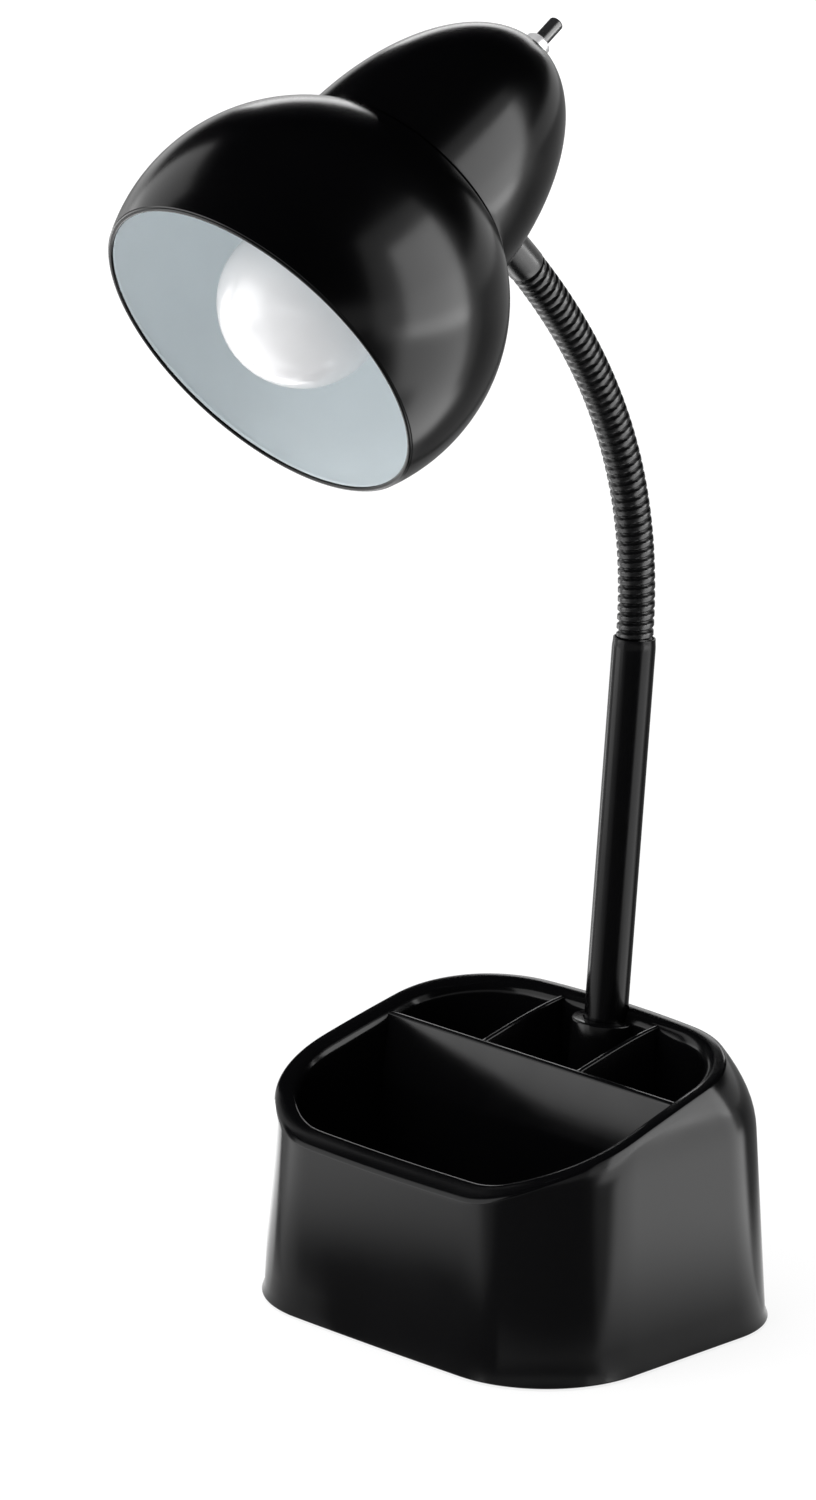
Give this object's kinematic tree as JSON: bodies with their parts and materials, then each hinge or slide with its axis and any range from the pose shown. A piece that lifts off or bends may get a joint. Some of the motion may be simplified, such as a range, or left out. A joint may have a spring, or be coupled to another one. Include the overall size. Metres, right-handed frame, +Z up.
{
  "type": "desk lamp with pen holder",
  "caption": "Desk lamp with a tray and pen cells in its black base, a ribbed flexible neck and a round tilted metal shade with an open-faced bulb and a turn switch.",
  "frame": {"origin": "middle of the base's underside, on the surface that the lamp stands on", "axes": "+Z up, -Y towards the front tray and the way that the head reaches, +X to the right seen from the front"},
  "size_m": [0.1714, 0.2291, 0.4771],
  "materials": {
    "housing_black": "glossy moulded black",
    "cover_black": "matt moulded black",
    "pad_rubber": "matt black foam rubber",
    "ballast_iron": "raw cast, matt",
    "zinc_steel": "zinc plated, satin",
    "raw_steel": "plain turned steel",
    "board_green": "green solder mask",
    "pale_moulding": "white moulded nylon",
    "phenolic_black": "black phenolic, semi-matt",
    "port_metal": "bright plated",
    "bush_rubber": "matt black",
    "tube_black": "glossy black enamel",
    "neck_black": "semi-gloss black on ribbed steel",
    "lead_jacket": "matt black",
    "shade_black": "glossy black enamel outside, bluish white inside",
    "cup_black": "glossy black enamel",
    "enamel_white": "white, satin",
    "brass_contacts": "plain brass",
    "bulb_opal": "opal white, satin",
    "cap_metal": "bright pressed",
    "switch_bright": "polished nickel",
    "knob_black": "black, soft gloss",
    "shaft_steel": "turned steel"
  },
  "bodies": {
    "base": {"base_housing": "housing_black", "bottom_cover": "cover_black", "base_pad": "pad_rubber", "ballast_weight": "ballast_iron", "cover_screw_1": "zinc_steel", "cover_screw_2": "zinc_steel", "cover_screw_3": "zinc_steel", "cover_screw_4": "zinc_steel", "charging_board": "board_green", "board_transformer": "pale_moulding", "board_capacitor": "phenolic_black", "port_shell": "port_metal", "port_tongue": "pale_moulding", "mains_inlet_bush": "bush_rubber", "splice_cap_1": "pale_moulding", "splice_cap_2": "pale_moulding", "neck_tube": "tube_black", "tube_plug": "raw_steel", "tube_nipple": "raw_steel", "tube_washer": "zinc_steel", "tube_locknut": "zinc_steel", "neck_segment_1": "neck_black", "tube_lead": "lead_jacket"},
    "neck_link_2": {"neck_segment_2": "neck_black", "neck_lead_2": "lead_jacket"},
    "neck_link_3": {"neck_segment_3": "neck_black", "neck_lead_3": "lead_jacket"},
    "neck_link_4": {"neck_segment_4": "neck_black", "neck_lead_4": "lead_jacket"},
    "neck_link_5": {"neck_segment_5": "neck_black", "neck_lead_5": "lead_jacket"},
    "neck_link_6": {"neck_segment_6": "neck_black", "neck_lead_6": "lead_jacket"},
    "neck_link_7": {"neck_segment_7": "neck_black", "neck_lead_7": "lead_jacket"},
    "head": {"neck_segment_8": "neck_black", "cuff_lead": "lead_jacket", "neck_cuff": "neck_black", "cup_nipple": "raw_steel", "cup_locknut": "zinc_steel", "front_shade": "shade_black", "rear_cup": "cup_black", "shade_ring": "enamel_white", "socket_body": "phenolic_black", "socket_shell": "brass_contacts", "socket_contact": "brass_contacts", "bulb_glass": "bulb_opal", "bulb_cap": "cap_metal", "bulb_contact": "raw_steel", "head_lead": "lead_jacket", "switch_body": "phenolic_black", "switch_bushing": "switch_bright", "switch_inner_nut": "zinc_steel", "switch_nut": "switch_bright"},
    "knob": {"switch_knob": "knob_black", "switch_shaft": "shaft_steel"}
  },
  "joints": [
    {"name": "neck_bend_1", "type": "hinge", "parent": "base", "child": "neck_link_2", "pos_m": [0, 0.06342, 0.25944], "axis": [1, 0, 0], "range_deg": [-14, 14]},
    {"name": "neck_side_bend_2", "type": "hinge", "parent": "neck_link_2", "child": "neck_link_3", "pos_m": [0, 0.06174, 0.28008], "axis": [0, 0.9897, 0.1434], "range_deg": [-14, 14]},
    {"name": "neck_bend_3", "type": "hinge", "parent": "neck_link_3", "child": "neck_link_4", "pos_m": [0, 0.05747, 0.30034], "axis": [1, 0, 0], "range_deg": [-14, 14]},
    {"name": "neck_side_bend_4", "type": "hinge", "parent": "neck_link_4", "child": "neck_link_5", "pos_m": [0, 0.05067, 0.3199], "axis": [0, 0.9229, 0.385], "range_deg": [-14, 14]},
    {"name": "neck_bend_5", "type": "hinge", "parent": "neck_link_5", "child": "neck_link_6", "pos_m": [0, 0.04162, 0.33853], "axis": [1, 0, 0], "range_deg": [-14, 14]},
    {"name": "neck_side_bend_6", "type": "hinge", "parent": "neck_link_6", "child": "neck_link_7", "pos_m": [0, 0.03067, 0.35611], "axis": [0, 0.8228, 0.5683], "range_deg": [-14, 14]},
    {"name": "neck_bend_7", "type": "hinge", "parent": "neck_link_7", "child": "head", "pos_m": [0, 0.01819, 0.37265], "axis": [1, 0, 0], "range_deg": [-14, 14]},
    {"name": "switch_turn", "type": "hinge", "parent": "head", "child": "knob", "pos_m": [0, 0.01289, 0.46565], "axis": [0, 0.8434, 0.5373], "continuous": true}
  ]
}
